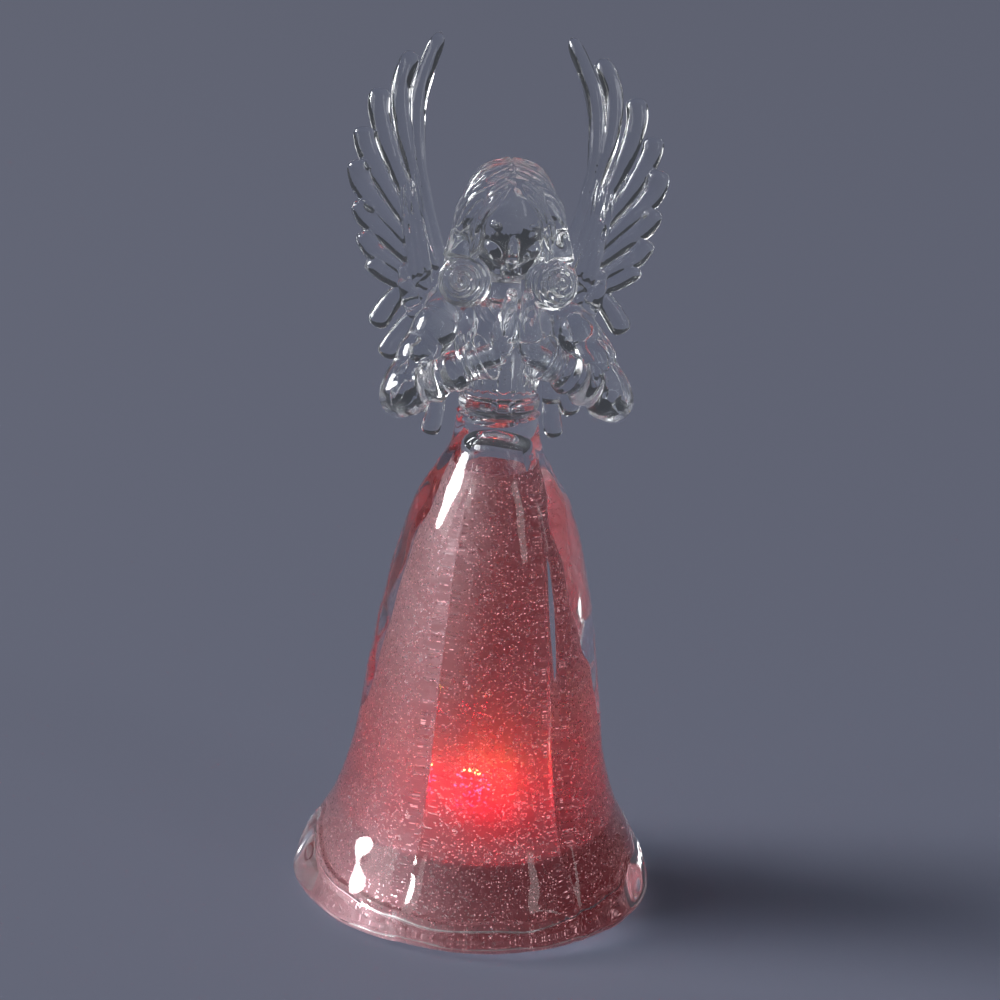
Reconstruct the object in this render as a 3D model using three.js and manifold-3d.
// A light-up angel figurine in clear acrylic. Its skirt is hollow, and a plug with a lamp, three button
// cells and a switch fills the skirt's foot.
// Millimetres, +Z up. The origin is the centre of the base on the table, and the figure faces -Y, so that
// its own left hand is on the +X side.
import * as THREE from 'three';
import { mergeVertices } from 'three/addons/utils/BufferGeometryUtils.js';
import Module from 'manifold-3d';

const wasm = await Module();
wasm.setup();

// Clearances
const SEAT_GAP = 0.15; // round a piece that is glued or pressed into its seat
const REST_GAP = 0.3; // between curved pieces that lie against each other
const RUN_GAP = 0.3; // round a piece that slides, turns or lifts out
const TOUCH_GAP = 0.1; // between a cell, a spring or a cover and what it presses on
const CUT_OVERRUN = 1; // how far a cutter runs past the face that it cuts

// Skirt
const SKIRT_FOOT_GAP = 0.8; // the acrylic stands this far off the table, on the plug's flange
const SKIRT_HEIGHT = 90.2;
const HEM_RADIUS = 33.3;
const FOLD_COUNT = 6;
const FOLD_DEPTH_SHARE = 0.085; // depth of the grooves between the folds, as a share of the radius
const FOLD_SHARPNESS = 0.6; // under 1 the grooves are narrow and the folds broad
const CAVITY_RADIUS = 17.5;
const DOME_WALL = 0.9; // between the top of the hollow and the socket above it
const SOCKET_RADIUS = 4;
const SOCKET_DEPTH = 1.6;
const SKIRT_SIDES = 48;
const CAVITY_SIDES = 24;

// Outline of the skirt from the hem up, as shares of HEM_RADIUS and SKIRT_HEIGHT, with the share of the
// full depth of the folds
const skirtOutlineShares = [
  [0.958, 0, 0.2],
  [0.993, 0.014, 0.22],
  [1, 0.035, 0.25],
  [0.964, 0.076, 0.38],
  [0.878, 0.137, 0.62],
  [0.814, 0.184, 0.8],
  [0.76, 0.244, 0.92],
  [0.715, 0.327, 1],
  [0.673, 0.432, 1],
  [0.637, 0.523, 1],
  [0.601, 0.594, 0.95],
  [0.547, 0.682, 0.82],
  [0.475, 0.769, 0.6],
  [0.402, 0.834, 0.38],
  [0.315, 0.889, 0.2],
  [0.228, 0.928, 0.08],
  [0.222, 1, 0],
];

// Outline of the hollow above the plug, as shares of CAVITY_RADIUS and of the hollow's height
const cavityOutlineShares = [
  [1, 0],
  [0.926, 0.056],
  [0.86, 0.134],
  [0.8, 0.232],
  [0.75, 0.316],
  [0.697, 0.408],
  [0.606, 0.551],
  [0.509, 0.681],
  [0.429, 0.759],
  [0.349, 0.863],
  [0.297, 0.915],
  [0.234, 0.961],
  [0.137, 0.988],
  [0, 1],
];

// Bodice
const BODICE_HEIGHT = 19.6;
const BODICE_HALF_WIDTH = 8.8;
const BODICE_HALF_DEPTH = 6.4;
const BELT_HEIGHT = 2.6;
const BELT_RISE = 0.7; // from the skirt's top to the belt
const BELT_PROUD = 0.5;
const PLEAT_DEPTH = 0.4;
const COLLAR_RADIUS = 0.55;
const COLLAR_SIDES = 6;
const BODICE_SIDES = 24;

// Sections of the bodice: height, half-width and half-depth as shares of its own, and the share of the
// full depth of the pleats
const bodiceSectionShares = [
  [0, 0.83, 0.9, 0],
  [0.18, 0.8, 0.88, 0.4],
  [0.35, 0.84, 0.93, 1],
  [0.55, 0.93, 1, 1],
  [0.72, 0.99, 1, 0.4],
  [0.84, 1, 0.94, 0],
  [0.93, 0.9, 0.8, 0],
  [1, 0.66, 0.62, 0],
];

// The V of the collar from its point to the shoulder, as shares of the bodice's half-width, half-depth
// and height
const collarShares = [
  [0, -1.01, 0.74],
  [0.28, -0.93, 0.86],
  [0.5, -0.7, 0.96],
];

// Head and hair
const HEAD_RISE = 14.8; // from the bodice's top to the middle of the head
const HEAD_HALF_WIDTH = 6.5;
const HEAD_HALF_DEPTH = 7.6;
const HEAD_HALF_HEIGHT = 8.4;
const HAIR_HALF_WIDTH = 8.8;
const HAIR_HALF_DEPTH = 8.6;
const HAIR_HALF_HEIGHT = 10;
const HAIR_BACK_SET = 1.8; // the hair's middle lies this far behind the head's
const HAIR_TOP_SET = 1; // and this far above it
const LOCK_RADIUS = 2.5;
const CURL_RADIUS = 4.2;
const FRINGE_OPENING = 5.6; // half-width of the opening for the face
const NECK_RADIUS = 2.9;
const NECK_PEG_RADIUS = 1.8;
const NECK_PEG_LENGTH = 3;
const NOSE_PROUD = 0.9;
const NOSE_RADIUS = 0.9;
const HEAD_SIDES = 16;

// The lock of hair beside the face, from the parting to the curl on the shoulder, as shares of the hair's
// half-width, half-depth and half-height, with its thickness as a share of LOCK_RADIUS
const lockShares = [
  [0.34, -0.5, 0.72, 0.5],
  [0.74, -0.52, 0.36, 0.85],
  [0.9, -0.42, -0.18, 1],
  [0.9, -0.42, -0.62, 1.25],
];

// The curl at the end of the lock and the hair behind the neck, in the same shares
const CURL_PLACE_SHARES = [0.9, -0.52, -1.02];
const backHairShares = [
  [0, 0.1, 0.2, 0.9],
  [0, 0.32, -0.5, 0.85],
  [0, 0.42, -1, 0.74],
  [0, 0.36, -1.32, 0.5],
];

// Arms
const SHOULDER_X = 11.4;
const SHOULDER_SHARE = 0.88; // height of the shoulder on the bodice
const SHOULDER_FORWARD = 1.4;
const ELBOW_X = 18.4;
const ELBOW_FORWARD = 10;
const ELBOW_DROP = 12; // below the shoulder
const CUFF_X = 4.7;
const CUFF_FORWARD = 15;
const CUFF_DROP = 3.4; // below the shoulder
const SHOULDER_RADIUS = 3.3;
const ELBOW_RADIUS = 3.9;
const SLEEVE_END_RADIUS = 3.5;
const CUFF_RADIUS = 4.1;
const CUFF_LENGTH = 1.8;
const ARM_PEG_RADIUS = 1.2;
const ARM_PEG_LENGTH = 2.4; // into the bodice
const WRIST_RADIUS = 2;
const HAND_LENGTH = 12;
const HAND_THICKNESS = 3.5;
const HAND_WIDTH = 5;
const HAND_LEAN = 2.2; // the finger tips lie this far in front of the wrists
const PALM_GAP = 0.3;
const ARM_SIDES = 10;
const HAND_SIDES = 8;

// Outline of the hand from the wrist to the finger tips: width and thickness shares along its length
const handOutlineShares = [
  [0.72, 0.8],
  [0.95, 1],
  [1, 1],
  [0.9, 0.86],
  [0.74, 0.7],
  [0.36, 0.4],
];

// Wings
const WING_HALF_SPAN = 28.1;
const WING_HEIGHT = 72.2;
const WING_DROP = 8.2; // the lowest feathers hang this far below the skirt's top
const WING_BACK = 6.6; // the plane of the wing's root behind the axis
const WING_SWEEP = 12.4; // how far the tips lean back
const WING_CUP = 5; // how far the outer edge comes forward
const SWEEP_START_SHARE = 0.4875;
const CUP_START_SHARE = 0.427;
const FEATHER_WIDTH = 4.6;
const FEATHER_THICKNESS = 1.8;
const COVERT_FORWARD = 1; // the coverts lie this far in front of the long feathers
const WEB_WIDTH = 8.4;
const WEB_THICKNESS = 2.4;
const SPAR_RADIUS = 1.7;
const PLATE_THICKNESS = 1.9;
const PLATE_HEIGHT = 10.4;
const PLATE_RISE = 4.6; // from the skirt's top to the plate's foot
const PLATE_REACH = 11; // from the middle to the spar
const PLATE_SEAT_BACK = 4.4; // the flat on the bodice's back, behind the axis
const WING_PEG_RADIUS = 1.1;
const WING_PEG_LENGTH = 2;
const WING_PEG_X = 4.2;
const WING_PEG_SPREAD = 5.4; // between the two pegs of a wing
const FEATHER_STEPS = 6;
const FEATHER_SIDES = 6;

// Feathers from the top of the wing to its foot. A line holds points of a feather's middle, as shares of
// WING_HALF_SPAN and WING_HEIGHT, and width is a share of FEATHER_WIDTH.
const featherShares = [
  { line: [[0.47, 0.56], [0.575, 0.72], [0.575, 0.86], [0.43, 1]], width: 0.8 },
  { line: [[0.5, 0.55], [0.655, 0.74], [0.7, 0.87], [0.615, 0.955]], width: 0.9 },
  { line: [[0.52, 0.53], [0.74, 0.7], [0.84, 0.81], [0.835, 0.875]], width: 1 },
  { line: [[0.52, 0.5], [0.77, 0.63], [0.92, 0.735], [0.945, 0.79]], width: 1 },
  { line: [[0.52, 0.47], [0.79, 0.575], [0.95, 0.655], [0.985, 0.715]], width: 1 },
  { line: [[0.5, 0.43], [0.76, 0.52], [0.91, 0.575], [0.96, 0.62]], width: 0.98 },
  { line: [[0.49, 0.4], [0.75, 0.465], [0.87, 0.5], [0.93, 0.545]], width: 0.95 },
  { line: [[0.48, 0.37], [0.68, 0.415], [0.8, 0.445], [0.88, 0.475]], width: 0.9 },
  { line: [[0.46, 0.45], [0.63, 0.4], [0.74, 0.355], [0.825, 0.305]], width: 1 },
  { line: [[0.42, 0.39], [0.56, 0.33], [0.67, 0.275], [0.75, 0.225]], width: 1 },
  { line: [[0.38, 0.3], [0.48, 0.25], [0.57, 0.205], [0.655, 0.15]], width: 0.96 },
  { line: [[0.36, 0.23], [0.42, 0.175], [0.48, 0.13], [0.54, 0.085]], width: 0.92 },
  { line: [[0.36, 0.19], [0.375, 0.13], [0.395, 0.075], [0.425, 0.025]], width: 0.88 },
];

// Small coverts over the roots of the long feathers, in the same shares
const covertShares = [
  { line: [[0.54, 0.7], [0.5, 0.6], [0.45, 0.5], [0.41, 0.42]], width: 0.62 },
  { line: [[0.61, 0.66], [0.58, 0.57], [0.54, 0.48], [0.5, 0.38]], width: 0.66 },
  { line: [[0.6, 0.56], [0.62, 0.48], [0.6, 0.39], [0.55, 0.31]], width: 0.7 },
  { line: [[0.43, 0.44], [0.46, 0.36], [0.47, 0.29], [0.47, 0.22]], width: 0.7 },
];

// The smooth web between the roots of the feathers and the coverts, in the same shares
const webShares = [[0.44, 0.2], [0.5, 0.34], [0.56, 0.47], [0.59, 0.6]];

// The spar that the feathers grow from, in the same shares
const sparShares = [[0.385, 0.12], [0.375, 0.22], [0.4, 0.36], [0.47, 0.48], [0.53, 0.6], [0.56, 0.69]];

// How a feather's width and thickness change from its root to its round tip
const featherTaperShares = [
  [0.5, 0.7],
  [0.8, 0.9],
  [0.98, 1],
  [1, 1],
  [1, 1],
  [0.86, 0.85],
  [0.4, 0.45],
];

// Plug
const FLANGE_LIP = 3.3; // how far the flange stands out round the cup
const FLANGE_THICKNESS = 1.8;
const CUP_WALL = 1.4;
const DOOR_RIM = 1.4; // between the cover's opening and the cup's wall
const LEDGE_THICKNESS = 1;
const DECK_THICKNESS = 1.2;
const BAY_HEADROOM = 2.65; // above the cells, for springs and wires
const TOWER_HEIGHT = 4;
const TOWER_WALL = 1.5;
const LEAD_BORE_RADIUS = 2;
const PLUG_SIDES = 36;

// Button cells, three in a ring
const CELL_RADIUS = 5.8;
const CELL_THICKNESS = 5.4;
const CELL_SPACING = 2.6; // between neighbours
const CELL_CROWN_RADIUS = 4.7;
const CELL_CROWN_HEIGHT = 0.4;
const CELL_SIDES = 24;
const CELL_ANGLES = [30, 150, 270];
const RIB_THICKNESS = 0.8;
const RIB_HEIGHT = 4.4;
const RIB_NEAR_ANGLE = 26; // a rib runs between these two angles off the cell's outward direction
const RIB_FAR_ANGLE = 62;
const RIB_STEPS = 4;

// Battery cover and its screw
const COVER_THICKNESS = 1.3;
const COVER_RECESS = 0.5; // the cover lies this far above the table
const COVER_LEDGE = 0.9; // width of the step round the cells
const CELL_MARGIN = 0.7; // between a cell and the step
const COVER_CHORD_LEDGE = 0.6; // the step along the cover's straight side
const SUPPORT_PAD_RADIUS = 3.6;
const SCREW_ANGLE = -30;
const SCREW_EDGE = 0.3; // between the screw's head and the cover's rim
const SCREW_RADIUS = 0.95;
const SCREW_LENGTH = 6.2;
const SCREW_HEAD_RADIUS = 1.85;
const SCREW_HEAD_HEIGHT = 0.7;
const SCREW_HOLE_GAP = 0.25;
const SCREW_SLOT_WIDTH = 0.5;
const SCREW_SLOT_DEPTH = 0.35;
const SCREW_SLOT_SPAN_SHARE = 1.3; // length of the slots over the head's radius
const SCREW_BOSS_RADIUS = 2.2;
const SCREW_SIDES = 12;

// Contacts
const STRIP_THICKNESS = 0.25;
const STRIP_WIDTH = 3.4;
const PAD_HALF_LENGTH = 1.3;
const ARCH_HALF_LENGTH = 2.5;
const BRIDGE_OVERHANG = 1.5; // of the lower bridge past the middle of each cell
const ANCHOR_LENGTH = 3.4; // of the negative contact's fixed end
const ANCHOR_MARGIN = 0.8; // from that end to the cup's wall
const TAB_WIDTH = 1.6; // of the solder tab on the side contact
const SIDE_CONTACT_RISE = 1; // from the cell's foot to the side contact

// Slide switch
const SWITCH_BAR = 0.55; // of plastic between the cover and the switch
const SWITCH_LENGTH = 8.6;
const SWITCH_WIDTH = 3.7;
const SWITCH_HEIGHT = 3.5;
const SWITCH_WALL = 0.35;
const SWITCH_TRAVEL = 2;
const KNOB_LENGTH = 1.6;
const KNOB_WIDTH = 1.4;
const KNOB_RECESS = 0.4; // between the knob's tip and the table
const SHOE_LENGTH = 3.2; // of the block inside the can
const TERMINAL_BOARD = 0.8;
const TERMINAL_PITCH = 2;
const TERMINAL_SIZE = 0.6;
const TERMINAL_LENGTH = 2.2;

// Lamp
const LED_RADIUS = 2.5;
const LED_HEIGHT = 8.6;
const LED_FLANGE_RADIUS = 2.9;
const LED_FLANGE_HEIGHT = 1;
const LEAD_PITCH = 2.54;
const LEAD_SIZE = 0.5;
const LEAD_FOOT_RISE = 0.65; // from the top of the cells to the leads' feet
const LED_SIDES = 16;
const LED_DOME_STEPS = 5;

// Resistor and wires
const RESISTOR_RADIUS = 0.85;
const RESISTOR_LENGTH = 3.2;
const RESISTOR_WIRE_RADIUS = 0.28;
const RESISTOR_WIRE_LENGTH = 0.8;
const WIRE_RADIUS = 0.45;
const WIRE_SIDES = 8;
const WIRE_STEP = 1.6;
const WIRE_LANE_MARGIN = 1; // from the cup's wall to the middle of a wire that runs round it
const redBendShares = [1.25, 0.2]; // where the red wire bows out, as shares of its cell's place
const whiteBendShares = [[0.25, 0.67], [0.33, 0.33]]; // the white wire's bends, as shares of its two ends
const BLACK_WIRE_ANGLES = [-105, -120, -140, -160, 180, 160, 140, 126];

// Heights and places that follow from the sizes
const skirtTopZ = SKIRT_FOOT_GAP + SKIRT_HEIGHT;
const bodiceTopZ = skirtTopZ + BODICE_HEIGHT;
const headZ = bodiceTopZ + HEAD_RISE;
const shoulderZ = skirtTopZ + BODICE_HEIGHT * SHOULDER_SHARE;
const wingFootZ = skirtTopZ - WING_DROP;
const coverTopZ = COVER_RECESS + COVER_THICKNESS;
const ledgeZ = coverTopZ + TOUCH_GAP;
const ledgeTopZ = ledgeZ + LEDGE_THICKNESS;
const cellFootZ = coverTopZ + STRIP_THICKNESS + TOUCH_GAP;
const cellTopZ = cellFootZ + CELL_THICKNESS;
const deckZ = cellTopZ + BAY_HEADROOM;
const deckTopZ = deckZ + DECK_THICKNESS;
const towerTopZ = deckTopZ + TOWER_HEIGHT;
const ledFootZ = towerTopZ - LED_FLANGE_HEIGHT;
const leadFootZ = cellTopZ + LEAD_FOOT_RISE;
const cavityFootZ = deckTopZ + RUN_GAP;
const cavityTopZ = skirtTopZ - SOCKET_DEPTH - DOME_WALL;

const cellCircle = (2 * CELL_RADIUS + CELL_SPACING) / Math.sqrt(3);
const cellPlaces = CELL_ANGLES.map((degrees) => onCircle(cellCircle, degrees));
const stepRadius = cellCircle + CELL_RADIUS + CELL_MARGIN;
const coverRadius = stepRadius + COVER_LEDGE;
const stepChordY = cellPlaces[0].y + CELL_RADIUS + TOUCH_GAP + RUN_GAP;
const coverChordY = stepChordY + COVER_CHORD_LEDGE;
const cupInnerRadius = coverRadius + RUN_GAP + DOOR_RIM;
const cupRadius = cupInnerRadius + CUP_WALL;
const flangeRadius = cupRadius + FLANGE_LIP;
const towerRadius = LED_FLANGE_RADIUS + SEAT_GAP + TOWER_WALL;
const screwPlace = onCircle(coverRadius - SCREW_HEAD_RADIUS - SCREW_EDGE, SCREW_ANGLE);
const switchY = coverChordY + RUN_GAP + SWITCH_BAR + SEAT_GAP + SWITCH_WIDTH / 2;
const switchFootZ = FLANGE_THICKNESS + TOUCH_GAP;
const switchTopZ = switchFootZ + SWITCH_HEIGHT;
const pinFootZ = switchTopZ + TERMINAL_BOARD;
const pinTopZ = pinFootZ + TERMINAL_LENGTH;
const knobX = SWITCH_TRAVEL / 2; // at rest the switch is on

// Finishes
const clearAcrylic = new THREE.MeshStandardMaterial({ color: 0xdfe6ee, roughness: 0.05, metalness: 0 });
clearAcrylic.transparent = true;
clearAcrylic.opacity = 0.35;
const whitePlastic = new THREE.MeshStandardMaterial({ color: 0xe8e6e2, roughness: 0.45, metalness: 0 });
const blackPlastic = new THREE.MeshStandardMaterial({ color: 0x202124, roughness: 0.5, metalness: 0 });
const boardBrown = new THREE.MeshStandardMaterial({ color: 0x8a6a42, roughness: 0.6, metalness: 0 });
const steel = new THREE.MeshStandardMaterial({ color: 0xb9bcc0, roughness: 0.3, metalness: 1 });
const lampRed = new THREE.MeshStandardMaterial({ color: 0xff5040, roughness: 0.1, metalness: 0 });
const resistorTan = new THREE.MeshStandardMaterial({ color: 0xd8b98a, roughness: 0.5, metalness: 0 });
const redInsulation = new THREE.MeshStandardMaterial({ color: 0xc02020, roughness: 0.5, metalness: 0 });
const blackInsulation = new THREE.MeshStandardMaterial({ color: 0x1c1c1e, roughness: 0.5, metalness: 0 });
const whiteInsulation = new THREE.MeshStandardMaterial({ color: 0xe6e6e6, roughness: 0.5, metalness: 0 });

const FRONT_ANGLE = -Math.PI / 2;
const origin = new THREE.Vector2(0, 0);
const backWay = new THREE.Vector3(0, 1, 0);
const sideWay = new THREE.Vector3(1, 0, 0);
const angel = new THREE.Group();

function onCircle(radius, degrees) {
  const angle = THREE.MathUtils.degToRad(degrees);
  return new THREE.Vector2(radius * Math.cos(angle), radius * Math.sin(angle));
}

// Signed volume of a triangle list, which is negative if its faces point inwards
function signedVolume(points, triangles) {
  let six = 0;
  for (let i = 0; i < triangles.length; i += 3) {
    const [a, b, c] = [0, 1, 2].map((k) => points[triangles[i + k]]);
    six += a.dot(new THREE.Vector3().crossVectors(b, c));
  }
  return six / 6;
}

// Rings of equal count joined in order, with a fan over each end, and its faces turned outwards
function stackRings(rings) {
  const sides = rings[0].length;
  const points = rings.flat();
  const triangles = [];
  for (let r = 0; r + 1 < rings.length; r++) {
    for (let s = 0; s < sides; s++) {
      const a = r * sides + s;
      const b = r * sides + ((s + 1) % sides);
      triangles.push(a, b, b + sides, a, b + sides, a + sides);
    }
  }
  for (const end of [0, rings.length - 1]) {
    const middle = new THREE.Vector3();
    rings[end].forEach((point) => middle.add(point));
    points.push(middle.divideScalar(sides));
    for (let s = 0; s < sides; s++) {
      const a = end * sides + s;
      const b = end * sides + ((s + 1) % sides);
      const fan = [points.length - 1, b, a];
      triangles.push(...(end === 0 ? fan : fan.reverse()));
    }
  }
  if (signedVolume(points, triangles) < 0) triangles.reverse();
  const geometry = new THREE.BufferGeometry().setFromPoints(points);
  geometry.setIndex(triangles);
  return geometry;
}

// A level ring of points, each placed by its angle
function levelRing(z, sides, placeAt) {
  return Array.from({ length: sides }, (_, s) => {
    const [x, y] = placeAt((2 * Math.PI * s) / sides, s);
    return new THREE.Vector3(x, y, z);
  });
}

// An ellipse carried along a curve. sizeAt gives its half-width and half-thickness at each share of the
// curve's length, and the thin way faces along thinWay.
function sweptEllipse(curve, steps, sides, sizeAt, thinWay) {
  const rings = [];
  for (let i = 0; i <= steps; i++) {
    const share = i / steps;
    const along = curve.getTangentAt(share);
    const wide = new THREE.Vector3().crossVectors(along, thinWay).normalize();
    const thin = new THREE.Vector3().crossVectors(wide, along).normalize();
    const [halfWidth, halfThickness] = sizeAt(share);
    const middle = curve.getPointAt(share);
    rings.push(
      Array.from({ length: sides }, (_, s) => {
        const angle = (2 * Math.PI * s) / sides;
        const point = middle.clone().addScaledVector(wide, halfWidth * Math.cos(angle));
        return point.addScaledVector(thin, halfThickness * Math.sin(angle));
      }),
    );
  }
  return stackRings(rings);
}

// A straight round limb that tapers from one end to the other
function taperedRod(from, to, radiusFrom, radiusTo, sides) {
  const upWay = new THREE.Vector3(0, 0, 1);
  const level = Math.abs(to.z - from.z) < Math.abs(to.x - from.x);
  const sizeAt = (share) => {
    const radius = THREE.MathUtils.lerp(radiusFrom, radiusTo, share);
    return [radius, radius];
  };
  return sweptEllipse(new THREE.LineCurve3(from, to), 1, sides, sizeAt, level ? upWay : sideWay);
}

// The value at a share of the way along a list of rows
function alongRows(rows, share) {
  const place = share * (rows.length - 1);
  const low = Math.min(Math.floor(place), rows.length - 2);
  return rows[low].map((value, i) => THREE.MathUtils.lerp(value, rows[low + 1][i], place - low));
}

// The manifold solid of a closed geometry
function solid(geometry) {
  const bare = geometry.clone();
  bare.deleteAttribute('normal');
  bare.deleteAttribute('uv');
  const merged = mergeVertices(bare);
  const corners = Array.from(merged.index.array);
  const kept = [];
  for (let i = 0; i < corners.length; i += 3) {
    const [a, b, c] = corners.slice(i, i + 3);
    if (a !== b && b !== c && c !== a) kept.push(a, b, c);
  }
  const vertProperties = new Float32Array(merged.attributes.position.array);
  return new wasm.Manifold(new wasm.Mesh({ numProp: 3, vertProperties, triVerts: new Uint32Array(kept) }));
}

function geometryOf(manifold) {
  const mesh = manifold.getMesh();
  const geometry = new THREE.BufferGeometry();
  geometry.setAttribute('position', new THREE.BufferAttribute(new Float32Array(mesh.vertProperties), 3));
  geometry.setIndex(new THREE.BufferAttribute(new Uint32Array(mesh.triVerts), 1));
  return geometry;
}

function addTo(body, geometries) {
  return geometries.map(solid).reduce((sum, next) => sum.add(next), body);
}

function joined([first, ...others]) {
  return addTo(solid(first), others);
}

function cutFrom(body, geometries) {
  return geometries.map(solid).reduce((rest, cutter) => rest.subtract(cutter), body);
}

// The same piece on the other side of the figure
function mirrored(geometry) {
  const copy = geometry.clone().scale(-1, 1, 1);
  copy.setIndex(Array.from(copy.index.array).reverse());
  return copy;
}

// A box from its lowest corner to its highest
function block(low, high) {
  const size = high.map((value, axis) => value - low[axis]);
  return new THREE.BoxGeometry(...size).translate(...low.map((value, axis) => value + size[axis] / 2));
}

// An upright cylinder at a place on the plan
function post(radius, bottom, top, place, sides) {
  const cylinder = new THREE.CylinderGeometry(radius, radius, top - bottom, sides).rotateX(Math.PI / 2);
  return cylinder.translate(place.x, place.y, (bottom + top) / 2);
}

// A solid of revolution about Z, from points [radius, z] that run from the axis out and up to the axis
function turned(profile, sides) {
  const points = profile.map(([radius, z]) => new THREE.Vector2(radius, z));
  return new THREE.LatheGeometry(points, sides).rotateX(Math.PI / 2);
}

function extruded(shape, bottom, top, curveSegments) {
  const options = { depth: top - bottom, bevelEnabled: false, curveSegments };
  return new THREE.ExtrudeGeometry(shape, options).translate(0, 0, bottom);
}

// A round plate with its +Y side cut straight
function dPlate(radius, chordY, bottom, top) {
  const corner = Math.asin(chordY / radius);
  const shape = new THREE.Shape();
  shape.absarc(0, 0, radius, Math.PI - corner, 2 * Math.PI + corner, false);
  shape.closePath();
  return extruded(shape, bottom, top, PLUG_SIDES);
}

// A thin metal strip that follows points [x, z] of its upper side, centred on y = 0
function bentStrip(points, width) {
  const under = points.map(([x, z]) => [x, z - STRIP_THICKNESS]).reverse();
  const shape = new THREE.Shape([...points, ...under].map(([x, z]) => new THREE.Vector2(x, z)));
  return extruded(shape, -width / 2, width / 2, 1).rotateX(Math.PI / 2);
}

function addPart(name, geometry, material) {
  const mesh = new THREE.Mesh(geometry, material);
  mesh.name = name;
  angel.add(mesh);
}

// What the folds leave of the skirt's radius at an angle
function foldShare(angle, depthShare) {
  const fold = Math.abs(Math.cos((FOLD_COUNT * (angle - FRONT_ANGLE)) / 2)) ** FOLD_SHARPNESS;
  return 1 - FOLD_DEPTH_SHARE * depthShare * (1 - fold);
}

function skirtShell() {
  const outside = stackRings(
    skirtOutlineShares.map(([radiusShare, heightShare, depthShare]) =>
      levelRing(SKIRT_FOOT_GAP + SKIRT_HEIGHT * heightShare, SKIRT_SIDES, (angle) => {
        const radius = HEM_RADIUS * radiusShare * foldShare(angle, depthShare);
        return [radius * Math.cos(angle), radius * Math.sin(angle)];
      }),
    ),
  );
  const flangeSeatZ = FLANGE_THICKNESS + TOUCH_GAP;
  const hollow = turned(
    [
      [0, -CUT_OVERRUN],
      [flangeRadius + RUN_GAP, -CUT_OVERRUN],
      [flangeRadius + RUN_GAP, flangeSeatZ],
      [cupRadius + RUN_GAP, flangeSeatZ],
      [cupRadius + RUN_GAP, cavityFootZ],
      ...cavityOutlineShares.map(([radiusShare, heightShare]) => [
        CAVITY_RADIUS * radiusShare,
        cavityFootZ + (cavityTopZ - cavityFootZ) * heightShare,
      ]),
    ],
    CAVITY_SIDES,
  );
  const socket = post(SOCKET_RADIUS, skirtTopZ - SOCKET_DEPTH, skirtTopZ + CUT_OVERRUN, origin, SCREW_SIDES);
  return geometryOf(cutFrom(solid(outside), [hollow, socket]));
}

// The bodice without its belt, collar and pegs, which may be grown to make a cutter with a gap
function bodiceForm(growth, pleatDepth) {
  const rings = bodiceSectionShares.map(([heightShare, widthShare, depthShare, pleatShare]) =>
    levelRing(skirtTopZ + BODICE_HEIGHT * heightShare, BODICE_SIDES, (angle, s) => {
      const facing = Math.max(0, -Math.sin(angle));
      const pleat = s % 2 === 0 ? pleatDepth * pleatShare * facing : 0;
      const halfWidth = BODICE_HALF_WIDTH * widthShare + growth - pleat;
      const halfDepth = BODICE_HALF_DEPTH * depthShare + growth - pleat;
      return [halfWidth * Math.cos(angle), halfDepth * Math.sin(angle)];
    }),
  );
  return stackRings(rings);
}

function bodiceBelt() {
  const [, widthShare, depthShare] = bodiceSectionShares[0];
  const halfWidth = BODICE_HALF_WIDTH * widthShare + BELT_PROUD;
  const halfDepth = BODICE_HALF_DEPTH * depthShare + BELT_PROUD;
  const footZ = skirtTopZ + BELT_RISE;
  const rings = [footZ, footZ + BELT_HEIGHT].map((z) =>
    levelRing(z, BODICE_SIDES, (angle) => [halfWidth * Math.cos(angle), halfDepth * Math.sin(angle)]),
  );
  return stackRings(rings);
}

// One side of the collar's V, on the +X or the -X side
function collarRoll(side) {
  const line = collarShares.map(([x, y, z]) => {
    const height = skirtTopZ + BODICE_HEIGHT * z;
    return new THREE.Vector3(side * BODICE_HALF_WIDTH * x, BODICE_HALF_DEPTH * y, height);
  });
  const sizeAt = () => [COLLAR_RADIUS, COLLAR_RADIUS];
  const curve = new THREE.CatmullRomCurve3(line);
  return sweptEllipse(curve, collarShares.length + 1, COLLAR_SIDES, sizeAt, backWay);
}

// The pegs that join a wing to the bodice's back
function wingPegs(side, radius, extra) {
  const length = WING_PEG_LENGTH + extra + PLATE_THICKNESS / 2;
  const plateMiddleZ = skirtTopZ + PLATE_RISE + PLATE_HEIGHT / 2;
  return [-WING_PEG_SPREAD / 2, WING_PEG_SPREAD / 2].map((rise) =>
    new THREE.CylinderGeometry(radius, radius, length, SCREW_SIDES).translate(
      side * WING_PEG_X,
      PLATE_SEAT_BACK - WING_PEG_LENGTH - extra + length / 2,
      plateMiddleZ + rise,
    ),
  );
}

// The peg that joins an arm to the bodice's side
function armPeg(side, radius, extra) {
  const start = BODICE_HALF_WIDTH - ARM_PEG_LENGTH - extra;
  const length = SHOULDER_X - start;
  return new THREE.CylinderGeometry(radius, radius, length, SCREW_SIDES)
    .rotateZ(Math.PI / 2)
    .translate(side * (start + length / 2), -SHOULDER_FORWARD, shoulderZ);
}

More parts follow.
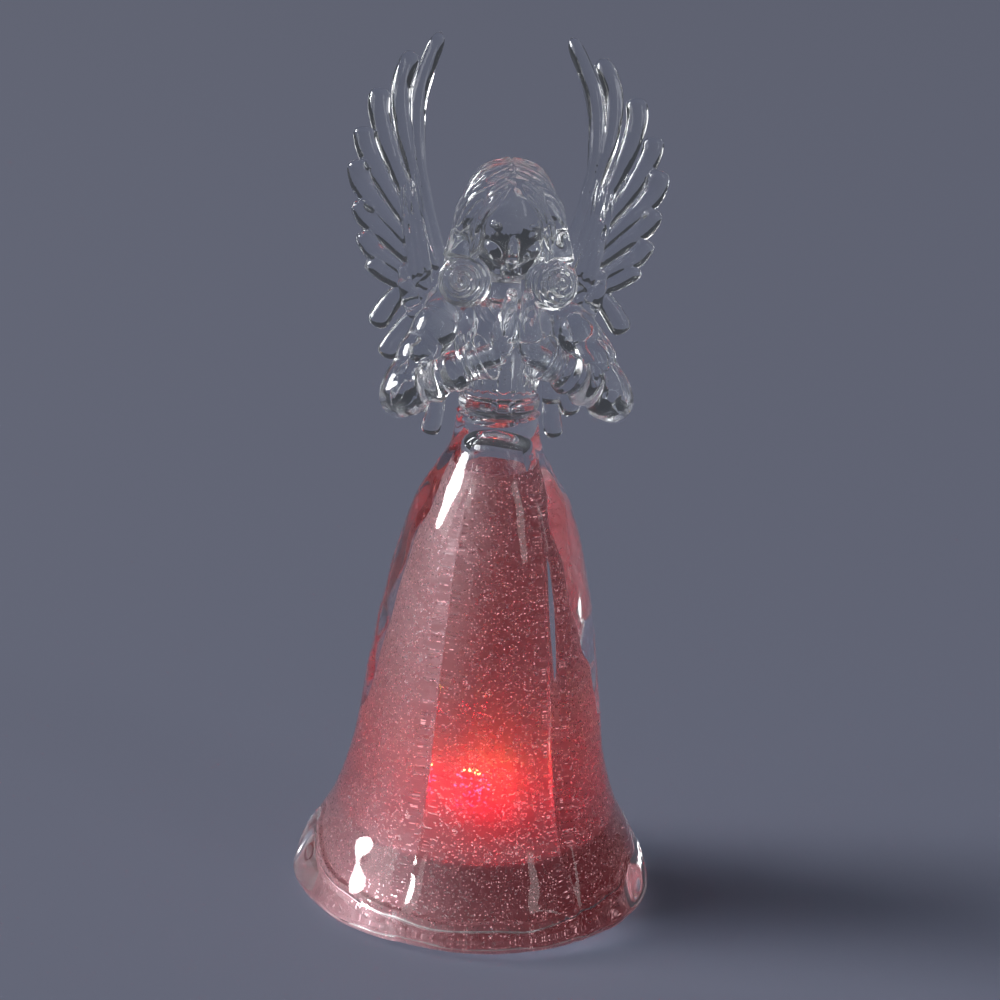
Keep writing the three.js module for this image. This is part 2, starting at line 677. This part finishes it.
function bodice() {
  const bossFootZ = skirtTopZ - SOCKET_DEPTH + TOUCH_GAP;
  const boss = post(SOCKET_RADIUS - SEAT_GAP, bossFootZ, skirtTopZ + BELT_RISE, origin, SCREW_SIDES);
  const neckBoreZ = bodiceTopZ - NECK_PEG_LENGTH - SEAT_GAP;
  const neckBoreRadius = NECK_PEG_RADIUS + SEAT_GAP;
  const neckBore = post(neckBoreRadius, neckBoreZ, bodiceTopZ + CUT_OVERRUN, origin, SCREW_SIDES);
  const plateSeat = block(
    [-PLATE_REACH, PLATE_SEAT_BACK, skirtTopZ + PLATE_RISE - SEAT_GAP],
    [PLATE_REACH, BODICE_HALF_DEPTH + CUT_OVERRUN, skirtTopZ + PLATE_RISE + PLATE_HEIGHT + SEAT_GAP],
  );
  const sideBores = [1, -1].flatMap((side) => [
    ...wingPegs(side, WING_PEG_RADIUS + SEAT_GAP, SEAT_GAP),
    armPeg(side, ARM_PEG_RADIUS + SEAT_GAP, SEAT_GAP),
  ]);
  const body = joined([bodiceForm(0, PLEAT_DEPTH), bodiceBelt(), collarRoll(1), collarRoll(-1), boss]);
  return geometryOf(cutFrom(body, [neckBore, plateSeat, ...sideBores]));
}

// The hand against its fellow, from the wrist up to the finger tips
function hand(wrist) {
  const tips = new THREE.Vector3(wrist.x, wrist.y - HAND_LEAN, wrist.z + HAND_LENGTH);
  const sizeAt = (share) => {
    const [width, thickness] = alongRows(handOutlineShares, share);
    return [(HAND_WIDTH / 2) * width, (HAND_THICKNESS / 2) * thickness];
  };
  const steps = handOutlineShares.length - 1;
  return sweptEllipse(new THREE.LineCurve3(wrist, tips), steps, HAND_SIDES, sizeAt, sideWay);
}

// A sleeve with its hand, on the +X side
function arm() {
  const shoulder = new THREE.Vector3(SHOULDER_X, -SHOULDER_FORWARD, shoulderZ);
  const elbow = new THREE.Vector3(ELBOW_X, -ELBOW_FORWARD, shoulderZ - ELBOW_DROP);
  const cuff = new THREE.Vector3(CUFF_X, -CUFF_FORWARD, shoulderZ - CUFF_DROP);
  const forearmWay = cuff.clone().sub(elbow).normalize();
  const cuffStart = cuff.clone().addScaledVector(forearmWay, -CUFF_LENGTH);
  const wrist = cuff.clone().add(new THREE.Vector3(0, -WRIST_RADIUS / 2, WRIST_RADIUS / 2));
  wrist.x = (PALM_GAP + HAND_THICKNESS) / 2;
  const ball = (radius, at) => {
    const sphere = new THREE.SphereGeometry(radius, ARM_SIDES, ARM_SIDES / 2);
    return sphere.translate(at.x, at.y, at.z);
  };
  const sleeve = joined([
    ball(SHOULDER_RADIUS, shoulder),
    taperedRod(shoulder, elbow, SHOULDER_RADIUS, ELBOW_RADIUS, ARM_SIDES),
    ball(ELBOW_RADIUS, elbow),
    taperedRod(elbow, cuff, ELBOW_RADIUS, SLEEVE_END_RADIUS, ARM_SIDES),
    taperedRod(cuffStart, cuff, SLEEVE_END_RADIUS, CUFF_RADIUS, ARM_SIDES),
    taperedRod(cuffStart, wrist, WRIST_RADIUS, WRIST_RADIUS, ARM_SIDES),
    hand(wrist),
  ]);
  const pastPalm = block(
    [-ELBOW_X, -ELBOW_X - CUFF_FORWARD, wrist.z - HAND_LENGTH],
    [PALM_GAP / 2, 0, wrist.z + HAND_LENGTH + CUT_OVERRUN],
  );
  const freed = cutFrom(sleeve, [pastPalm, bodiceForm(REST_GAP, 0)]);
  return geometryOf(addTo(freed, [armPeg(1, ARM_PEG_RADIUS, 0)]));
}

// Where a place on the wing lies, given as shares of its half-span and height
function wingPoint([spanShare, heightShare], forward) {
  const back = Math.max(0, (heightShare - SWEEP_START_SHARE) / (1 - SWEEP_START_SHARE)) ** 2;
  const cup = Math.max(0, (spanShare - CUP_START_SHARE) / (1 - CUP_START_SHARE)) ** 2;
  return new THREE.Vector3(
    WING_HALF_SPAN * spanShare,
    WING_BACK + WING_SWEEP * back - WING_CUP * cup - forward,
    wingFootZ + WING_HEIGHT * heightShare,
  );
}

function feather({ line, width }, forward) {
  const curve = new THREE.CatmullRomCurve3(line.map((place) => wingPoint(place, forward)));
  const sizeAt = (share) => {
    const [wide, thick] = alongRows(featherTaperShares, share);
    return [(FEATHER_WIDTH / 2) * width * wide, (FEATHER_THICKNESS / 2) * thick];
  };
  return sweptEllipse(curve, FEATHER_STEPS, FEATHER_SIDES, sizeAt, backWay);
}

// A wing with the plate and pegs that hold it, on the +X side
function wing() {
  const sparCurve = new THREE.CatmullRomCurve3(sparShares.map((place) => wingPoint(place, 0)));
  const sparSize = () => [SPAR_RADIUS, SPAR_RADIUS];
  const spar = sweptEllipse(sparCurve, sparShares.length + 2, FEATHER_SIDES, sparSize, backWay);
  const webCurve = new THREE.CatmullRomCurve3(webShares.map((place) => wingPoint(place, COVERT_FORWARD / 2)));
  const webSize = (share) => {
    const swell = Math.sin(Math.PI * (share + 1 / 2) / 2);
    return [(WEB_WIDTH / 2) * swell, (WEB_THICKNESS / 2) * swell];
  };
  const web = sweptEllipse(webCurve, webShares.length, HAND_SIDES, webSize, backWay);
  const plateFrontY = PLATE_SEAT_BACK + TOUCH_GAP;
  const plateFootZ = skirtTopZ + PLATE_RISE;
  const plate = block(
    [PALM_GAP / 2, plateFrontY, plateFootZ],
    [PLATE_REACH, plateFrontY + PLATE_THICKNESS, plateFootZ + PLATE_HEIGHT],
  );
  const feathers = featherShares.map((row) => feather(row, 0));
  const coverts = covertShares.map((row) => feather(row, COVERT_FORWARD));
  const freed = cutFrom(joined([spar, web, ...feathers, ...coverts]), [bodiceForm(REST_GAP, 0)]);
  return geometryOf(addTo(freed, [plate, ...wingPegs(1, WING_PEG_RADIUS, 0)]));
}

// A ball stretched to three half-sizes about a place
function egg(halfSizes, place) {
  const ball = new THREE.SphereGeometry(1, HEAD_SIDES, HEAD_SIDES / 2).rotateX(Math.PI / 2);
  return ball.scale(...halfSizes).translate(...place);
}

// A place in the hair, from shares of its half-width, half-depth and half-height
function hairPoint([x, y, z], side) {
  return new THREE.Vector3(
    side * HAIR_HALF_WIDTH * x,
    HAIR_BACK_SET + HAIR_HALF_DEPTH * y,
    headZ + HAIR_TOP_SET + HAIR_HALF_HEIGHT * z,
  );
}

// The lock of hair beside the face, with the curl that rests on the shoulder
function sideLock(side) {
  const curve = new THREE.CatmullRomCurve3(lockShares.map((row) => hairPoint(row, side)));
  const sizeAt = (share) => {
    const radius = LOCK_RADIUS * alongRows(lockShares, share)[3];
    return [radius, radius];
  };
  const curlSizes = [CURL_RADIUS, CURL_RADIUS, CURL_RADIUS];
  return [
    sweptEllipse(curve, lockShares.length + 1, FEATHER_SIDES, sizeAt, sideWay),
    egg(curlSizes, hairPoint(CURL_PLACE_SHARES, side).toArray()),
  ];
}

function backHair() {
  const curve = new THREE.CatmullRomCurve3(backHairShares.map((row) => hairPoint(row, 1)));
  const sizeAt = (share) => {
    const wide = alongRows(backHairShares, share)[3];
    return [HAIR_HALF_WIDTH * wide, LOCK_RADIUS * wide];
  };
  return sweptEllipse(curve, backHairShares.length + 1, ARM_SIDES, sizeAt, backWay);
}

// Head, hair, neck and the peg under it
function head() {
  const cap = egg([HAIR_HALF_WIDTH, HAIR_HALF_DEPTH, HAIR_HALF_HEIGHT], hairPoint([0, 0, 0], 1).toArray());
  const faceOpening = egg([FRINGE_OPENING, HEAD_HALF_DEPTH, HEAD_HALF_HEIGHT], [0, -HEAD_HALF_DEPTH, headZ]);
  const skull = egg([HEAD_HALF_WIDTH, HEAD_HALF_DEPTH, HEAD_HALF_HEIGHT], [0, 0, headZ]);
  const nose = new THREE.ConeGeometry(NOSE_RADIUS, NOSE_RADIUS + NOSE_PROUD, FEATHER_SIDES)
    .rotateX(Math.PI / 2)
    .translate(0, -HEAD_HALF_DEPTH, headZ - NOSE_RADIUS);
  const neckTopZ = headZ - HEAD_HALF_HEIGHT / 2;
  const neck = post(NECK_RADIUS, bodiceTopZ + TOUCH_GAP, neckTopZ, origin, ARM_SIDES);
  const peg = post(NECK_PEG_RADIUS, bodiceTopZ - NECK_PEG_LENGTH, neckTopZ, origin, ARM_SIDES);
  const hair = cutFrom(solid(cap), [faceOpening]);
  return geometryOf(addTo(hair, [skull, ...sideLock(1), ...sideLock(-1), backHair(), nose, neck, peg]));
}

// A short wall beside a cell, between two angles off its outward direction
function cellRib(place, outward, from, to) {
  const [start, end] = [outward + from, outward + to].map(THREE.MathUtils.degToRad);
  const inner = CELL_RADIUS + RUN_GAP;
  const shape = new THREE.Shape();
  shape.absarc(place.x, place.y, inner + RIB_THICKNESS, start, end, false);
  shape.absarc(place.x, place.y, inner, end, start, true);
  shape.closePath();
  return extruded(shape, deckZ - RIB_HEIGHT, deckZ + DECK_THICKNESS / 2, RIB_STEPS);
}

function basePlug() {
  const outside = turned(
    [
      [0, 0],
      [flangeRadius, 0],
      [flangeRadius, FLANGE_THICKNESS],
      [cupRadius, FLANGE_THICKNESS],
      [cupRadius, deckTopZ],
      [towerRadius, deckTopZ],
      [towerRadius, towerTopZ],
      [0, towerTopZ],
    ],
    PLUG_SIDES,
  );
  const bay = post(cupInnerRadius, ledgeTopZ, deckZ, origin, PLUG_SIDES);
  const coverSeat = dPlate(coverRadius + RUN_GAP, coverChordY + RUN_GAP, -CUT_OVERRUN, ledgeZ);
  const step = dPlate(stepRadius, stepChordY, -CUT_OVERRUN, ledgeTopZ + LEDGE_THICKNESS);
  const lampSeat = post(LED_FLANGE_RADIUS + SEAT_GAP, ledFootZ, towerTopZ + CUT_OVERRUN, origin, LED_SIDES);
  const leadBore = post(LEAD_BORE_RADIUS, deckZ - CUT_OVERRUN, towerTopZ, origin, LED_SIDES);
  const halfLength = SWITCH_LENGTH / 2 + SEAT_GAP;
  const halfWidth = SWITCH_WIDTH / 2 + SEAT_GAP;
  const switchPocket = block(
    [-halfLength, switchY - halfWidth, FLANGE_THICKNESS],
    [halfLength, switchY + halfWidth, ledgeTopZ + CUT_OVERRUN],
  );
  const slotHalfLength = (KNOB_LENGTH + SWITCH_TRAVEL) / 2 + RUN_GAP;
  const slotHalfWidth = KNOB_WIDTH / 2 + RUN_GAP;
  const knobSlot = block(
    [-slotHalfLength, switchY - slotHalfWidth, -CUT_OVERRUN],
    [slotHalfLength, switchY + slotHalfWidth, FLANGE_THICKNESS + CUT_OVERRUN],
  );
  const boss = post(SCREW_BOSS_RADIUS, ledgeZ, deckZ + DECK_THICKNESS / 2, screwPlace, SCREW_SIDES);
  const pilotTopZ = COVER_RECESS + SCREW_HEAD_HEIGHT + SCREW_LENGTH + SEAT_GAP;
  const pilot = post(SCREW_RADIUS + SEAT_GAP, -CUT_OVERRUN, pilotTopZ, screwPlace, SCREW_SIDES);
  const ribs = cellPlaces.flatMap((place, i) => [
    cellRib(place, CELL_ANGLES[i], RIB_NEAR_ANGLE, RIB_FAR_ANGLE),
    cellRib(place, CELL_ANGLES[i], -RIB_FAR_ANGLE, -RIB_NEAR_ANGLE),
  ]);
  const cup = cutFrom(solid(outside), [bay, coverSeat, step, lampSeat, leadBore, switchPocket, knobSlot]);
  return geometryOf(cutFrom(addTo(cup, [boss, ...ribs]), [pilot]));
}

function batteryCover() {
  const plate = dPlate(coverRadius, coverChordY, COVER_RECESS, coverTopZ);
  const padTop = coverTopZ + STRIP_THICKNESS;
  const pad = post(SUPPORT_PAD_RADIUS, COVER_RECESS, padTop, cellPlaces[1], CELL_SIDES);
  const hole = post(SCREW_RADIUS + SCREW_HOLE_GAP, 0, coverTopZ + CUT_OVERRUN, screwPlace, SCREW_SIDES);
  const headTopZ = COVER_RECESS + SCREW_HEAD_HEIGHT + TOUCH_GAP;
  const headSeat = post(SCREW_HEAD_RADIUS + SCREW_HOLE_GAP, 0, headTopZ, screwPlace, SCREW_SIDES);
  return geometryOf(cutFrom(joined([plate, pad]), [hole, headSeat]));
}

function coverScrew() {
  const headTopZ = COVER_RECESS + SCREW_HEAD_HEIGHT;
  const screwHead = post(SCREW_HEAD_RADIUS, COVER_RECESS, headTopZ, screwPlace, SCREW_SIDES);
  const shank = post(SCREW_RADIUS, COVER_RECESS, headTopZ + SCREW_LENGTH, screwPlace, SCREW_SIDES);
  const long = (SCREW_HEAD_RADIUS * SCREW_SLOT_SPAN_SHARE) / 2;
  const short = SCREW_SLOT_WIDTH / 2;
  const slotTopZ = COVER_RECESS + SCREW_SLOT_DEPTH;
  const slots = [
    [long, short],
    [short, long],
  ].map(([x, y]) => block([-x, -y, 0], [x, y, slotTopZ]).translate(screwPlace.x, screwPlace.y, 0));
  return geometryOf(cutFrom(joined([screwHead, shank]), slots));
}

// A cell with its negative crown up, or down where the circuit runs the other way
function buttonCell(place, crownUp) {
  const shoulderHeight = CELL_THICKNESS - CELL_CROWN_HEIGHT;
  const profile = [
    [0, 0],
    [CELL_RADIUS, 0],
    [CELL_RADIUS, shoulderHeight],
    [CELL_CROWN_RADIUS, shoulderHeight],
    [CELL_CROWN_RADIUS, CELL_THICKNESS],
    [0, CELL_THICKNESS],
  ];
  const cell = turned(profile, CELL_SIDES).translate(0, 0, -CELL_THICKNESS / 2);
  if (!crownUp) cell.rotateX(Math.PI);
  return geometryOf(solid(cell.translate(place.x, place.y, cellFootZ + CELL_THICKNESS / 2)));
}

const padTopZ = cellTopZ + TOUCH_GAP + STRIP_THICKNESS;
const archTopZ = deckZ - TOUCH_GAP;

// Joins the upper faces of the two rear cells, and arches over the wires between them
function upperBridge() {
  const { x, y } = cellPlaces[0];
  const half = [
    [ARCH_HALF_LENGTH, archTopZ],
    [x - PAD_HALF_LENGTH, padTopZ],
    [x + PAD_HALF_LENGTH, padTopZ],
  ];
  const line = [...half.map(([along, z]) => [-along, z]).reverse(), ...half];
  return geometryOf(solid(bentStrip(line, STRIP_WIDTH).translate(0, y, 0)));
}

// The spring on the front cell's upper face, fixed under the deck by the cup's wall
function negativeContact() {
  const anchorEnd = cupInnerRadius - ANCHOR_MARGIN;
  const line = [
    [cellCircle - PAD_HALF_LENGTH, padTopZ],
    [cellCircle + PAD_HALF_LENGTH, padTopZ],
    [anchorEnd - ANCHOR_LENGTH, archTopZ],
    [anchorEnd, archTopZ],
  ];
  return geometryOf(solid(bentStrip(line, STRIP_WIDTH).rotateZ(-Math.PI / 2)));
}

// The upright strip on the side of the left rear cell, with a tab for the red wire
function sidePositiveContact() {
  const reach = cellCircle + CELL_RADIUS + TOUCH_GAP;
  const strip = block(
    [reach, -STRIP_WIDTH / 2, cellFootZ + SIDE_CONTACT_RISE],
    [reach + STRIP_THICKNESS, STRIP_WIDTH / 2, archTopZ],
  );
  const tab = block(
    [reach - TAB_WIDTH, -TAB_WIDTH / 2, archTopZ - STRIP_THICKNESS],
    [reach + STRIP_THICKNESS / 2, TAB_WIDTH / 2, archTopZ],
  );
  const angle = THREE.MathUtils.degToRad(CELL_ANGLES[1]);
  return geometryOf(joined([strip.rotateZ(angle), tab.rotateZ(angle)]));
}

// The strip on the cover that joins the lower faces of the right rear cell and the front cell
function lowerBridge() {
  const [rear, front] = [cellPlaces[0], cellPlaces[2]];
  const span = rear.clone().sub(front);
  const half = span.length() / 2 + BRIDGE_OVERHANG;
  const stripTopZ = coverTopZ + STRIP_THICKNESS;
  const strip = block([-half, -STRIP_WIDTH / 2, coverTopZ], [half, STRIP_WIDTH / 2, stripTopZ]);
  const middle = rear.clone().add(front).divideScalar(2);
  return geometryOf(solid(strip.rotateZ(span.angle()).translate(middle.x, middle.y, 0)));
}

function switchCan() {
  const [length, width] = [SWITCH_LENGTH / 2, SWITCH_WIDTH / 2];
  const can = block([-length, switchY - width, switchFootZ], [length, switchY + width, switchTopZ]);
  const inside = block(
    [SWITCH_WALL - length, switchY - width + SWITCH_WALL, switchFootZ + SWITCH_WALL],
    [length - SWITCH_WALL, switchY + width - SWITCH_WALL, switchTopZ + CUT_OVERRUN],
  );
  const slotHalfLength = (KNOB_LENGTH + SWITCH_TRAVEL) / 2 + SEAT_GAP;
  const slotHalfWidth = KNOB_WIDTH / 2 + SEAT_GAP;
  const slot = block(
    [-slotHalfLength, switchY - slotHalfWidth, 0],
    [slotHalfLength, switchY + slotHalfWidth, switchTopZ],
  );
  return geometryOf(cutFrom(solid(can), [inside, slot]));
}

function switchSlider() {
  const shoeFootZ = switchFootZ + SWITCH_WALL + SEAT_GAP;
  const shoeHalfWidth = SWITCH_WIDTH / 2 - SWITCH_WALL - SEAT_GAP;
  const shoe = block(
    [knobX - SHOE_LENGTH / 2, switchY - shoeHalfWidth, shoeFootZ],
    [knobX + SHOE_LENGTH / 2, switchY + shoeHalfWidth, switchTopZ - SEAT_GAP],
  );
  const knob = block(
    [knobX - KNOB_LENGTH / 2, switchY - KNOB_WIDTH / 2, KNOB_RECESS],
    [knobX + KNOB_LENGTH / 2, switchY + KNOB_WIDTH / 2, switchTopZ - SEAT_GAP],
  );
  return geometryOf(joined([shoe, knob]));
}

function terminalBoard() {
  const board = block(
    [-SWITCH_LENGTH / 2, switchY - SWITCH_WIDTH / 2, switchTopZ],
    [SWITCH_LENGTH / 2, switchY + SWITCH_WIDTH / 2, pinFootZ],
  );
  const pins = [-TERMINAL_PITCH, 0, TERMINAL_PITCH].map((x) =>
    block(
      [x - TERMINAL_SIZE / 2, switchY - TERMINAL_SIZE / 2, switchTopZ + TERMINAL_BOARD / 2],
      [x + TERMINAL_SIZE / 2, switchY + TERMINAL_SIZE / 2, pinTopZ],
    ),
  );
  return geometryOf(joined([board, ...pins]));
}

function ledLamp() {
  const domeZ = ledFootZ + LED_HEIGHT - LED_RADIUS;
  const dome = Array.from({ length: LED_DOME_STEPS + 1 }, (_, i) => {
    const angle = (Math.PI / 2) * (i / LED_DOME_STEPS);
    const radius = i === LED_DOME_STEPS ? 0 : LED_RADIUS * Math.cos(angle);
    return [radius, domeZ + LED_RADIUS * Math.sin(angle)];
  });
  const flange = [
    [0, ledFootZ],
    [LED_FLANGE_RADIUS, ledFootZ],
    [LED_FLANGE_RADIUS, ledFootZ + LED_FLANGE_HEIGHT],
    [LED_RADIUS, ledFootZ + LED_FLANGE_HEIGHT],
  ];
  return geometryOf(solid(turned([...flange, ...dome], LED_SIDES)));
}

function ledLead(x) {
  const half = LEAD_SIZE / 2;
  return block([x - half, -half, leadFootZ], [x + half, half, ledFootZ]);
}

const resistorZ = leadFootZ + RESISTOR_RADIUS;
const resistorEnd = -LEAD_PITCH / 2 - LEAD_SIZE / 2 - TOUCH_GAP;
const resistorLength = RESISTOR_LENGTH + 2 * RESISTOR_WIRE_LENGTH;

// The resistor with its two wires, one of which meets the lamp's positive lead
function ledResistor() {
  const rod = (radius, length) => {
    const cylinder = new THREE.CylinderGeometry(radius, radius, length, ARM_SIDES).rotateZ(Math.PI / 2);
    return cylinder.translate(resistorEnd - resistorLength / 2, 0, resistorZ);
  };
  const core = rod(RESISTOR_RADIUS, RESISTOR_LENGTH);
  return geometryOf(joined([core, rod(RESISTOR_WIRE_RADIUS, resistorLength)]));
}

// An insulated wire through a list of points
function wire(points) {
  const route = new THREE.CatmullRomCurve3(points.map(([x, y, z]) => new THREE.Vector3(x, y, z)));
  const section = new THREE.Shape();
  section.absarc(0, 0, WIRE_RADIUS, 0, 2 * Math.PI, false);
  const steps = Math.ceil(route.getLength() / WIRE_STEP);
  const options = { extrudePath: route, steps, curveSegments: WIRE_SIDES / 2 };
  return geometryOf(solid(new THREE.ExtrudeGeometry(section, options)));
}

const laneZ = cellTopZ + BAY_HEADROOM / 2;
const laneRadius = cupInnerRadius - WIRE_LANE_MARGIN;

// From the side contact to the resistor
function redWire() {
  const tabEnd = onCircle(cellCircle + CELL_RADIUS - TAB_WIDTH, CELL_ANGLES[1]);
  const cell = cellPlaces[1];
  return wire([
    [tabEnd.x, tabEnd.y - WIRE_RADIUS, laneZ],
    [tabEnd.x, cell.y / 2, laneZ],
    [cell.x * redBendShares[0], cell.y * redBendShares[1], laneZ],
    [resistorEnd - resistorLength - 2 * WIRE_RADIUS, 0, resistorZ],
    [resistorEnd - resistorLength - REST_GAP, 0, resistorZ],
  ]);
}

// From the negative contact round the cup's wall to the switch
function blackWire() {
  const turns = BLACK_WIRE_ANGLES.map((degrees) => {
    const place = onCircle(laneRadius, degrees);
    return [place.x, place.y, laneZ];
  });
  return wire([...turns, [-TERMINAL_PITCH - TERMINAL_SIZE / 2 - REST_GAP, switchY, laneZ - WIRE_RADIUS]]);
}

// From the switch under the upper bridge to the lamp's negative lead
function whiteWire() {
  const leadX = LEAD_PITCH / 2;
  const pinFace = switchY - TERMINAL_SIZE / 2 - REST_GAP;
  const wireZ = laneZ - WIRE_RADIUS;
  return wire([
    [0, pinFace, wireZ],
    ...whiteBendShares.map(([x, y]) => [leadX * x, pinFace * y, wireZ]),
    [leadX, LEAD_SIZE + 2 * WIRE_RADIUS, wireZ],
    [leadX, LEAD_SIZE / 2 + REST_GAP, wireZ],
  ]);
}

addPart('skirt_shell', skirtShell(), clearAcrylic);
addPart('bodice', bodice(), clearAcrylic);
addPart('head', head(), clearAcrylic);
const leftArm = arm();
addPart('left_arm', leftArm, clearAcrylic);
addPart('right_arm', mirrored(leftArm), clearAcrylic);
const leftWing = wing();
addPart('left_wing', leftWing, clearAcrylic);
addPart('right_wing', mirrored(leftWing), clearAcrylic);

addPart('base_plug', basePlug(), whitePlastic);
addPart('battery_cover', batteryCover(), whitePlastic);
addPart('cover_screw', coverScrew(), steel);
cellPlaces.forEach((place, i) => addPart(`button_cell_${i + 1}`, buttonCell(place, i !== 0), steel));
addPart('contact_upper_bridge', upperBridge(), steel);
addPart('contact_lower_bridge', lowerBridge(), steel);
addPart('contact_negative', negativeContact(), steel);
addPart('contact_side_positive', sidePositiveContact(), steel);
addPart('switch_can', switchCan(), steel);
addPart('switch_slider', switchSlider(), blackPlastic);
addPart('switch_terminal_board', terminalBoard(), boardBrown);
addPart('led_lamp', ledLamp(), lampRed);
addPart('led_anode_lead', ledLead(-LEAD_PITCH / 2), steel);
addPart('led_cathode_lead', ledLead(LEAD_PITCH / 2), steel);
addPart('led_resistor', ledResistor(), resistorTan);
addPart('wire_red', redWire(), redInsulation);
addPart('wire_black', blackWire(), blackInsulation);
addPart('wire_white', whiteWire(), whiteInsulation);

export default angel;
